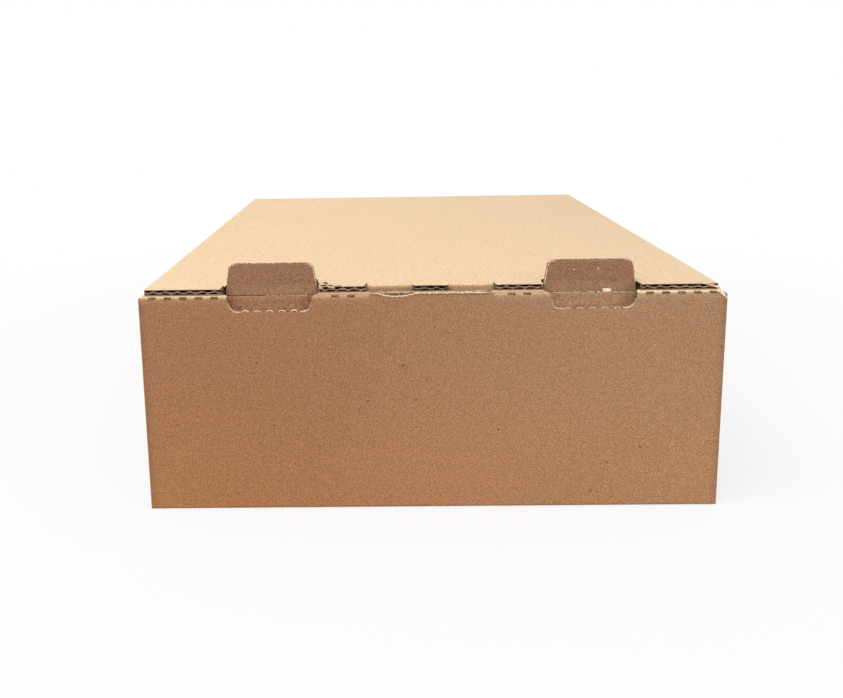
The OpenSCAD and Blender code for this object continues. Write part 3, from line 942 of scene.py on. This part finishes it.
class Outline:
    """An open line in a plane, measured along its length."""

    def __init__(self, points: Sequence[tuple[float, float]]) -> None:
        """Keeps the line.

        Args:
            points: corners in order; the outside is on the right.
        """
        self.points = [Vector(point) for point in points]
        self.marks = [0.0]
        for start, end in zip(self.points, self.points[1:]):
            self.marks.append(self.marks[-1] + (end - start).length)
        self.length = self.marks[-1]

    def at(self, along: float) -> tuple[Vector, Vector]:
        """Point and outward normal at a distance along the line."""
        along = min(max(along, 0.0), self.length)
        index = 0
        while index < len(self.points) - 2 and self.marks[index + 1] < along:
            index += 1
        start, end = self.points[index], self.points[index + 1]
        ahead = (end - start).normalized()
        return start + ahead * (along - self.marks[index]), Vector((ahead.y, -ahead.x))


def tongue_outline(base_w: float, top_w: float, height: float, corner_r: float) -> Outline:
    """Line round a tongue: up its right side, over the top and down the left."""
    slope = math.atan2((base_w - top_w) / 2, height)
    corner_x = top_w / 2 - corner_r * math.tan(math.pi / 4 - slope / 2)
    steps = 6
    turns = [slope + (math.pi / 2 - slope) * step / steps for step in range(steps + 1)]
    right = [
        (corner_x + corner_r * math.cos(turn), height - corner_r + corner_r * math.sin(turn))
        for turn in turns
    ]
    left = [(-x, y) for x, y in reversed(right)]
    return Outline([(base_w / 2, 0), *right, *left, (-base_w / 2, 0)])


def rough(along: float, seed: float, grain: float = 1.0) -> float:
    """Uneven value from 0 to 1 along an edge, the same on every run.

    Args:
        along: distance along the edge, in metres.
        seed: picks another stretch of the noise.
        grain: size of the unevenness, in millimetres.
    """
    coarse = noise.noise(Vector((along / MM / grain, seed, 0.3)))
    fine = noise.noise(Vector((along / MM / grain * 3.1, seed, 7.7)))
    return min(max(0.5 + 0.75 * coarse + 0.4 * fine, 0.0), 1.0)


@dataclass
class PaperSheet:
    """A thin sheet of paper laid out by a function of two shares from 0 to 1."""

    place: Callable[[float, float], Vector]
    steps: tuple[int, int]
    back: Vector

    def add_to(self, shape: bmesh.types.BMesh) -> None:
        """Adds the sheet to a mesh, with its thickness drawn out along back."""
        across, up = self.steps
        grid = bmesh.ops.create_grid(shape, x_segments=across, y_segments=up, size=0.5)["verts"]
        for vert in grid:
            vert.co = self.place(vert.co.x + 0.5, vert.co.y + 0.5)
        front = list({face for vert in grid for face in vert.link_faces})
        drawn = bmesh.ops.extrude_face_region(shape, geom=front, use_keep_orig=True)["geom"]
        moved = [item for item in drawn if isinstance(item, bmesh.types.BMVert)]
        bmesh.ops.translate(shape, verts=moved, vec=self.back)
        faces = list({face for vert in (*grid, *moved) for face in vert.link_faces})
        bmesh.ops.recalc_face_normals(shape, faces=faces)


def lip(
    outline: Outline, plane: Plane, low: float, reach: float, depth: float, seed: float,
    sag: float = 0.0, span: tuple[float, float] = (0.0, 1.0),
) -> PaperSheet:
    """Torn lip of a liner along an outline, its own sizes in millimetres.

    Args:
        outline: line that the lip follows.
        plane: plane of the outline.
        low: where the lip starts, outward from the outline.
        reach: how far its free edge reaches from there at most.
        depth: how far it lies out of the plane.
        seed: picks the tear.
        sag: how far the free edge bends out of the plane.
        span: shares of the outline between which the lip runs.
    """
    first, last = (share * outline.length for share in span)
    grain, taper, least = 0.9, 12, 0.15

    def place(u: float, v: float) -> Vector:
        along = first + (last - first) * u
        spot, normal = outline.at(along)
        jag = rough(along, seed, grain)
        fade = min(1.0, taper * u, taper * (1 - u))
        spot = spot + normal * (low + v * reach * (least + (1 - least) * jag) * fade) * MM
        return plane.at(spot.x, spot.y, (depth + sag * v * jag) * MM)

    count = max(8, int((last - first) / (0.3 * MM)))
    return PaperSheet(place, (count, 2), plane.out * -0.1 * MM)


@dataclass
class Fuzz:
    """Short paper fibres that stand out of a cut edge, their sizes in millimetres."""

    outline: Outline
    plane: Plane
    depth: tuple[float, float]
    per_mm: float
    length: tuple[float, float] = (0.3, 0.9)
    width: float = 0.05
    inward: bool = False
    seed: int = 1

    def add_to(self, shape: bmesh.types.BMesh) -> None:
        """Adds the fibres, each a thin three-sided spike, to a mesh."""
        chance = random.Random(self.seed)
        plane, width = self.plane, self.width * MM
        sign = -1.0 if self.inward else 1.0
        for _ in range(int(self.outline.length / MM * self.per_mm)):
            spot, normal = self.outline.at(chance.uniform(0, self.outline.length))
            length = chance.uniform(*self.length) * MM
            root = plane.at(spot.x, spot.y, chance.uniform(*self.depth) * MM)
            lean = plane.across * chance.uniform(-0.9, 0.9) + plane.up * chance.uniform(-0.5, 0.5)
            ahead = (plane.across * normal.x + plane.up * normal.y) * sign
            aim = (ahead + lean * 0.8 + plane.out * chance.uniform(-0.5, 0.1)).normalized()
            turn = aim.to_track_quat("Z", "Y").to_matrix().to_4x4()
            bmesh.ops.create_cone(
                shape, cap_ends=True, segments=3, radius1=width, radius2=width * 0.3,
                depth=length, matrix=Matrix.Translation(root + aim * length * 0.35) @ turn,
            )


@dataclass
class Scrap:
    """A crumpled scrap of paper that faces the front.

    Attributes:
        middle: its place, in metres.
        size: width and height, in millimetres.
        crumple: how far it strays from flat, in millimetres.
        seed: picks the crumple.
        tilt: turn in its plane, in radians.
        lean: how far its top lies back, as a share of its height.
    """

    middle: Vector
    size: tuple[float, float]
    crumple: float
    seed: float
    tilt: float = 0.0
    lean: float = 0.0

    def add_to(self, shape: bmesh.types.BMesh) -> None:
        """Adds the scrap to a mesh."""
        turn = Matrix.Rotation(self.tilt, 3, "Y")

        def place(u: float, v: float) -> Vector:
            x = (u - 0.5) * (1 - 0.22 * (2 * v - 1) ** 4) * self.size[0] * MM
            z = (v - 0.5) * (1 - 0.22 * (2 * u - 1) ** 4) * self.size[1] * MM
            bump = noise.noise_vector(Vector((u * 2.3, v * 2.3, self.seed))) * self.crumple * MM
            bump.y *= 0.6
            return self.middle + turn @ Vector((x, z * self.lean, z)) + bump

        PaperSheet(place, (7, 5), BACK * 0.2 * MM).add_to(shape)


def make_object(name: str, parts: Sequence, material: bpy.types.Material) -> bpy.types.Object:
    """Joins parts into one object.

    Args:
        name: name of the object.
        parts: things with an add_to method.
        material: the object's material.

    Returns:
        The new object.
    """
    shape = bmesh.new()
    for part in parts:
        part.add_to(shape)
    mesh = bpy.data.meshes.new(name)
    shape.to_mesh(mesh)
    shape.free()
    mesh.materials.append(material)
    LOG.info("%s: %d faces", name, len(mesh.polygons))
    return new_object(name, mesh)


class Dressing:
    """Pieces of paper laid over one part of the sheet."""

    body = Body.TRAY

    def __init__(self, sheet: Sheet, papers: Papers) -> None:
        """Keeps sizes and materials."""
        self.sheet = sheet
        self.papers = papers

    def piece(self, name: str, parts: Sequence, paper: Paper, body: Body | None = None) -> None:
        """Joins parts into one piece that rides on a body.

        Args:
            name: name of the piece.
            parts: things with an add_to method.
            paper: what it is made of.
            body: body that it moves with, if not the one of the whole dressing.
        """
        body = body or self.body
        made = make_object(name, parts, self.papers[paper])
        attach(made, body.value)


class WindowEdges(Dressing):
    """Torn liner and fibres round the two lock windows of the front wall."""

    def build(self) -> None:
        """Makes the rims, the flute arches on the lower edges, and the fibres."""
        s = self.sheet
        outline = tongue_outline(s.window_w, s.window_low_w, s.window_h, s.window_r)
        rims: list = []
        fibres: list = []
        for index, (side, arch_h) in enumerate(zip(SIDES, (0.95, 0.5))):
            plane = front_plane(side * s.tab_x, -s.half_d, s.wall_top, up=-1)
            for span in ((0.05, 0.24), (0.76, 0.95)):
                rims.append(lip(outline, plane, 0.05, -0.4, -0.03, 3.0 + index, span=span))
            fibres.append(Fuzz(outline, plane, (-1.2, -0.1), 1.2, inward=True, seed=11 + index))
            rims.extend(self._arches(side, arch_h))
        self.piece("window_rims", rims, Paper.BRIGHT)
        self.piece("window_fibres", fibres, Paper.PALE)
        flecks = [self._flecks(-1, -0.06, 0.42, 81), self._flecks(1, -0.46, 0.46, 82)]
        self.piece("ply_flecks", flecks, Paper.BRIGHT)

    def _flecks(self, side: int, first: float, last: float, seed: int) -> Fuzz:
        """Bright torn fibre on the inner ply's cut edge, seen through a window.

        Args:
            side: -1 for the left window, 1 for the right one.
            first, last: ends of the frayed stretch, as shares of the window's width.
            seed: picks the fibres.
        """
        s = self.sheet
        line = Outline([(side * s.tab_x + end * s.window_w, 0) for end in (last, first)])
        plane = front_plane(0, s.inner_y - s.board, s.fold_z + 1.9 * MM)
        return Fuzz(line, plane, (0.0, 0.25), 2.4, (0.25, 0.8), 0.14, seed=seed)

    def _arches(self, side: int, height: float) -> list[PaperSheet]:
        """Crests of the torn medium that stand over a window's lower edge.

        Args:
            side: -1 for the left window, 1 for the right one.
            height: how high they stand, in millimetres.
        """
        s = self.sheet
        half = s.window_low_w / 2 - s.window_r
        base = s.wall_top - s.window_h - 0.25 * MM
        arches = []
        for step in range(int(2 * half / s.pitch) + 1):
            middle = side * s.tab_x - half + (step + 0.5) * s.pitch
            tall = height * MM * (0.75 + 0.5 * rough(middle, 5.0, 4.0))

            def place(u: float, v: float, middle=middle, tall=tall) -> Vector:
                turn = math.pi * u
                radius = tall * (0.5 + 0.5 * v) + 0.3 * MM
                x = middle - 1.9 * MM * math.cos(turn) * (0.8 + 0.2 * v)
                y = -s.half_d + (0.5 + 0.3 * rough(x, 2.0)) * MM
                return Vector((x, y, base + radius * math.sin(turn)))

            arches.append(PaperSheet(place, (12, 1), BACK * 0.3 * MM))
        return arches


class NotchEdge(Dressing):
    """Ragged upper edge of the front ply in the thumb notch."""

    def build(self) -> None:
        """Makes the torn liners and the fibres on the notch's edge."""
        s = self.sheet
        half = s.notch_w / 2 - 0.4 * MM
        line = Outline([(half, 0), (-half, 0)])
        front = front_plane(0, -s.half_d, s.wall_top + s.notch_rise)
        dip = self._dip()
        torn = Outline([(half, 0), *dip, (-half, 0)])
        bright = [
            lip(torn, front, 0.15, -0.75, 0.06, 21.0),
            lip(torn, front, -0.2, 0.75, 0.02, 24.0),
        ]
        filling = [lip(Outline(dip), front, -0.1, 1.7, -0.5, 25.0)]
        liners = [
            lip(line, front, -0.2, 0.65, -0.9, 22.0),
            lip(line, front, -0.2, 0.8, -2.7, 23.0),
        ]
        fibres = [Fuzz(line, front, (-2.9, -0.1), 5.0, (0.3, 0.8), seed=31)]
        self.piece("notch_rim", bright, Paper.BRIGHT)
        self.piece("dip_filling", filling, Paper.KRAFT)
        self.piece("notch_liner", liners, Paper.PALE)
        self.piece("notch_fibres", fibres, Paper.PALE)

    def _dip(self) -> list[tuple[float, float]]:
        """Arc of the dip torn out of the front liner, from right to left."""
        s = self.sheet
        radius = (s.dip_w ** 2 / 4 + s.dip_h ** 2) / (2 * s.dip_h)
        reach = math.asin(s.dip_w / 2 / radius)
        steps = 6
        turns = [reach * (1 - step / steps) for step in range(2 * steps + 1)]
        return [
            (s.dip_x + radius * math.sin(turn), radius - s.dip_h - radius * math.cos(turn))
            for turn in turns
        ]


class TabEdges(Dressing):
    """Fuzzy cut edges of the two standing tabs, and what sticks to them."""

    body = Body.LID

    def plane(self, side: int) -> Plane:
        """The front face of one tab."""
        s = self.sheet
        up = Vector((0, -math.sin(s.lean), math.cos(s.lean)))
        out = Vector((0, -math.cos(s.lean), -math.sin(s.lean)))
        return Plane(Vector((side * s.tab_x, s.crease_y, s.lid_z)) + out * s.board, RIGHT, up, out)

    def build(self) -> None:
        """Makes rims, painted shade strips behind them, felt, fibres, and three bits of paper."""
        s = self.sheet
        outline = tongue_outline(s.tab_w, s.tab_top_w, s.tab_h, s.tab_r)
        top = Outline(outline.points[2:-2])
        spans = (
            (((0.04, 0.22),), (0.76, 0.99)),
            (((0.04, 0.22), (0.78, 0.97)), (0.03, 0.2)),
        )
        layers = (0.05, -0.6, -1.3, -2.0, -2.7)
        through = (-2.8, 0.1)
        rims, shades, felt, fibres = [], [], [], []
        for index, (side, (bright_spans, dark_span)) in enumerate(zip(SIDES, spans)):
            plane = self.plane(side)
            for seed, span in enumerate(bright_spans, 41 + index):
                rims.append(lip(outline, plane, -0.3, 0.5, 0.03, seed, span=span))
            # Painted shade: a dark strip behind the tab's edge
            shades.append(lip(outline, plane, -0.1, 0.45, -0.5, 45.0 + index, span=dark_span))
            for layer, depth in enumerate(layers):
                seed = 50.0 + index + 3 * layer
                felt.append(lip(outline, plane, -0.3, 0.85, depth, seed, span=(0.19, 0.81)))
            felt.append(Fuzz(top, plane, through, 11.0, (0.5, 1.2), seed=56 + index))
            fibres.append(Fuzz(outline, plane, through, 3.0, (0.35, 0.85), seed=51 + index))
        self.piece("tab_rims", rims, Paper.BRIGHT)
        self.piece("tab_shades", shades, Paper.DARK)
        self.piece("tab_felt", felt, Paper.KRAFT)
        self.piece("tab_fibres", fibres, Paper.PALE)
        right = self.plane(1)
        bits = [
            Scrap(right.at(8.5 * MM, -0.9 * MM, 1.5 * MM), (4.6, 2.4), 0.7, 61.0, lean=0.6),
            Scrap(right.at(-8.4 * MM, 10.4 * MM, 0.1 * MM), (0.9, 0.6), 0.2, 62.0),
            Scrap(right.at(4.0 * MM, 10.6 * MM, 0.1 * MM), (0.8, 0.6), 0.2, 63.0),
        ]
        self.piece("tab_paper_chips", bits, Paper.WHITE)


@dataclass(frozen=True)
class Shoulder:
    """One part of the lid's front edge that reaches over the front wall."""

    left: float
    right: float
    front: float


class LidFront(Dressing):
    """The lid's raw front edges: liner lips, curled ends and crushed flutes."""

    body = Body.LID

    def __init__(self, sheet: Sheet, papers: Papers) -> None:
        """Keeps sizes and materials, and works out the shoulders."""
        super().__init__(sheet, papers)
        s = sheet
        tab_in = s.tab_x - s.tab_w / 2 - s.kerf
        tab_out = s.tab_x + s.tab_w / 2 + s.kerf
        outer = s.flap_face_y - s.outer_reach
        inner = s.flap_face_y - s.inner_reach
        self.shoulders = (
            Shoulder(s.lid_left, -tab_out, outer),
            Shoulder(-tab_in, -s.strip_out_x, inner),
            Shoulder(-s.strip_in_x, s.strip_in_x, inner),
            Shoulder(s.strip_out_x, tab_in, inner),
            Shoulder(tab_out, s.lid_right, outer),
        )

    def build(self) -> None:
        """Makes every piece of the front edge."""
        s = self.sheet
        inset, thick = 0.2 * MM, (-0.1, 0.1)
        lips, fibres, ribbons = [], [], []
        for index, part in enumerate(self.shoulders):
            line = Outline([(part.right - inset, 0), (part.left + inset, 0)])
            upper, lower = (front_plane(0, part.front, z) for z in (s.lid_top, s.lid_z))
            lips.append(lip(line, upper, -0.1, 0.4, 0.08, 71.0 + index, sag=0.1))
            fibres.append(Fuzz(line, lower, thick, 1.2, (0.3, 0.9), seed=91 + index))
            fibres.append(Fuzz(line, upper, thick, 1.5, (0.3, 0.7), inward=True, seed=99 + index))
            ribbons.append(self._medium(part, 88.0 + index))
        self.piece("torn_medium", ribbons, Paper.MEDIUM)
        self.piece("shoulder_lips", lips, Paper.PALE)
        self.piece("shoulder_fibres", fibres, Paper.KRAFT)
        self._curls()
        self._crushed()

    def _medium(self, part: Shoulder, seed: float) -> PaperSheet:
        """Torn waved medium that stands out of a raw edge."""
        s = self.sheet
        middle = (part.left + part.right) / 2
        length = part.right - part.left - 1.4 * MM
        first = middle - int(length / s.pitch) / 2 * s.pitch
        swing = (0.26 if part.left < 0 else 0.18) * MM

        def place(u: float, v: float) -> Vector:
            x = middle + (u - 0.5) * length
            wave = -swing * math.cos(2 * math.pi * (x - first) / s.pitch)
            torn = 0.25 * MM * (rough(x, seed, 1.5) - 0.5)
            tall = (0.2 + 0.5 * rough(x, seed + 0.5, 2.2)) * MM
            z = s.lid_z + 0.46 * s.board + wave + torn + (v - 0.5) * tall
            return Vector((x, part.front - 0.12 * MM * rough(x, seed + 0.7, 0.7), z))

        return PaperSheet(place, (int(length / (0.45 * MM)), 1), BACK * 0.4 * MM)

    def _curls(self) -> None:
        """Ends of the shoulders that curl up beside tabs and notch, with dark layers under them as
        painted shade.
        """
        # Shoulder, its end, how far the end rises and how long the curl is, in mm
        ends = (
            (0, 1, 2.0, 3.4), (1, 1, 1.9, 3.2), (2, -1, 0.7, 2.4), (2, 1, 0.5, 2.4),
            (3, -1, 1.2, 3.0), (3, 1, 0.5, 1.2), (4, -1, 0.9, 2.4),
        )
        tops, core_shades = [], []
        for index, (number, side, lift, run) in enumerate(ends):
            part = self.shoulders[number]
            tops.append(self._curl(part, side, lift, run, 0.0, 101.0 + index))
            # Painted shade: two dark layers under each curled liner
            core_shades.append(self._curl(part, side, lift, run, 0.4, 101.0 + index))
            core_shades.append(self._curl(part, side, lift * 0.4, run, 1.9, 111.0 + index))
        tops.append(self._corner_flap())
        self.piece("curled_liners", tops, Paper.PALE)
        self.piece("curled_core_shade", core_shades, Paper.DARK)

    def _curl(
        self, part: Shoulder, side: int, lift: float, run: float, below: float, seed: float,
    ) -> PaperSheet:
        """One layer of a curled end, its sizes in millimetres.

        Args:
            part: shoulder that curls.
            side: -1 for its left end, 1 for its right one.
            lift: how far the end rises.
            run: how long the curl is.
            below: how far the layer lies under the upper liner.
            seed: picks its unevenness.
        """
        edge = part.right if side > 0 else part.left
        reach = min(3.4, 1.4 * run)

        def place(u: float, v: float) -> Vector:
            x = edge + side * (0.25 - run * (1 - u)) * MM
            rise = lift * u * u * (1 - 0.5 * v)
            deep = (v * reach - 0.12 + 0.25 * rough(x, seed, 1.3)) * MM
            ripple = 0.2 * (rough(x, seed + 1, 1.6) - 0.5) * u
            z = self.sheet.lid_top + (rise - below + ripple) * MM
            return Vector((x, part.front + deep, z))

        return PaperSheet(place, (12, 4), DOWN * (0.3 if below == 0 else 0.5) * MM)

    def _corner_flap(self) -> PaperSheet:
        """Bit of upper liner left hanging in the right tab's window."""
        s = self.sheet
        taper = (s.tab_w - s.tab_top_w) / 2 / s.tab_h

        def place(u: float, v: float) -> Vector:
            y = s.crease_y + s.tab_h + s.kerf - 8 * MM * v
            edge = s.tab_x - s.tab_w / 2 - s.kerf + (y - s.crease_y) * taper
            wide = (2.7 - 0.8 * rough(y, 161.0, 1.2)) * MM
            return Vector((edge + (u - 0.08) * wide, y, s.lid_top - (0.05 + 0.15 * u) * MM))

        return PaperSheet(place, (6, 10), DOWN * 0.3 * MM)

    def _crushed(self) -> None:
        """Flutes crushed into scraps beside the left tab, with dark scraps behind them as painted
        shadow.
        """
        part = self.shoulders[1]
        start = Vector((part.left, part.front - 0.35 * MM, self.sheet.lid_top - 1.0 * MM))
        # Place along the edge and up from 1 mm under its top, width, height, tilt
        spots = (
            (0.9, 1.1, 1.8, 1.6, 0.5), (2.3, 2.3, 3.0, 1.4, -0.25), (4.2, 1.9, 2.4, 1.2, 0.6),
            (5.9, 1.0, 2.8, 1.2, 0.35), (1.6, 0.3, 2.2, 1.0, 0.1), (7.4, 0.5, 2.2, 0.9, 0.3),
        )
        pale, dark = [], []
        for index, (x, up, wide, tall, tilt) in enumerate(spots):
            middle = start + Vector((x, 0, up)) * MM
            back = middle + Vector((0.3, 0.6, 0.1)) * MM
            pale.append(Scrap(middle, (wide, 0.55 * tall), 0.55, 121.0 + index, tilt))
            # Painted shadow: a larger dark scrap behind each pale one
            dark.append(Scrap(back, (1.35 * wide, 0.75 * tall), 0.4, 131.0 + index, tilt))
        self.piece("crushed_flutes", pale, Paper.PALE)
        self.piece("crushed_shadow", dark, Paper.DARK)


class SlitFibres(Dressing):
    """Torn paper that half fills the slits of the perforated fold."""

    def build(self) -> None:
        """Makes one ragged strip in each slit."""
        s = self.sheet
        spots = [
            first + step * s.slit_pitch
            for first, count in ((s.slit_out_x, s.slits_out), (s.slit_in_x, s.slits_in))
            for step in range(count)
        ]
        strips = [self._strip(side * spot) for spot in spots for side in SIDES]
        self.piece("slit_fibres", strips, Paper.KRAFT)

    def _strip(self, middle: float) -> PaperSheet:
        """Ragged strip in the slit round one place along the fold."""
        s = self.sheet
        out = Vector((0, -1, 1)).normalized()
        along = Vector((0, 1, 1)).normalized()
        reach = (s.board - s.fold_r) * math.sqrt(2) + s.fold_r - 0.3 * MM
        pivot = Vector((0, s.ply_back_y, s.fold_z))

        def place(u: float, v: float) -> Vector:
            x = middle + (u - 0.5) * (s.slit_l - 0.2 * MM)
            wide = (0.1 + 0.4 * rough(x, 151.0, 1.1)) * MM
            side = 0.5 * (rough(x, 152.0, 1.4) - 0.5) * MM
            deep = reach + 0.15 * MM * rough(x, 153.0, 0.7)
            return RIGHT * x + pivot + out * deep + along * (side + (v - 0.5) * wide)

        return PaperSheet(place, (14, 1), out * -0.15 * MM)


class CornerWear(Dressing):
    """Crushed right front corner: torn strips on the wall and a bent lid liner."""

    def build(self) -> None:
        """Makes the strips on the wall's corner and the bent end of the lid."""
        s = self.sheet
        corner = Vector((s.half_w, -s.half_d, s.wall_top))
        strips = [
            Scrap(corner + Vector((-2.7, -0.1, -0.9)) * MM, (4.6, 1.3), 0.35, 141.0, 0.72, 0.6),
            Scrap(corner + Vector((-1.0, -0.1, -2.3)) * MM, (3.4, 0.8), 0.3, 142.0, 0.95, 0.4),
        ]
        self.piece("corner_strips", strips, Paper.BRIGHT)
        front = s.flap_face_y - s.outer_reach

        def place(u: float, v: float) -> Vector:
            x = s.lid_right - 8 * MM * (1 - u)
            fall = 1.5 * MM * u * u
            tall = (0.25 + 0.9 * u) * MM
            z = s.lid_top - fall - (1 - v) * tall + 0.06 * MM
            return Vector((x, front - 0.15 * MM - 0.2 * MM * rough(x, 143.0, 1.2), z))

        bent = PaperSheet(place, (18, 2), BACK * 0.12 * MM)
        self.piece("bent_liner", [bent], Paper.PALE, Body.LID)


class HingeSkin:
    """Outer liner that bridges the fold between back wall and lid."""

    def __init__(self, sheet: Sheet, material: bpy.types.Material) -> None:
        """Keeps sizes and material."""
        self.sheet = sheet
        self.material = material

    def build(self) -> None:
        """Makes the skin."""
        s = self.sheet
        inset = 3.6 * MM
        low, high = s.lid_left + inset, s.lid_right - inset
        # Depth in front of the back face and height over the walls, in mm
        path = [
            Vector((0, s.half_d - deep * MM, s.wall_top + up * MM))
            for deep, up in ((0.10, -0.3), (0.03, 0.3), (0.03, 1.1), (0.08, 1.6))
        ]

        def place(u: float, v: float) -> Vector:
            share = v * (len(path) - 1)
            index = min(int(share), len(path) - 2)
            spot = path[index].lerp(path[index + 1], share - index)
            return Vector((low + (high - low) * u, spot.y, spot.z))

        sheet = PaperSheet(place, (40, 6), BACK * -0.1 * MM)
        skin = make_object("hinge_skin", [sheet], self.material)
        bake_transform(skin)


def dress_node(node: str, material: bpy.types.Material) -> None:
    """Gives a CAD node its material."""
    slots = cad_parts[node].data.materials
    slots.clear()
    slots.append(material)


def main() -> None:
    """Builds camera, studio, materials and pieces."""
    logging.basicConfig(level=logging.INFO, format="%(name)s: %(message)s")
    PhotoCamera().build()
    Studio().build()
    sheet = Sheet()
    effects = Effects(fibre_group(), flute_group(), speck_group(), core_group())
    tray_board = TrayMaterial(TRAY_FINISH, sheet, effects).build()
    lid_board = LidMaterial(LID_FINISH, sheet, effects).build()
    dress_node("tray", tray_board)
    dress_node("lid", lid_board)
    papers = {paper: paper.build() for paper in Paper}
    for kind in (WindowEdges, NotchEdge, TabEdges, LidFront, SlitFibres, CornerWear):
        kind(sheet, papers).build()
    HingeSkin(sheet, tray_board).build()


if __name__ == "__main__":
    main()
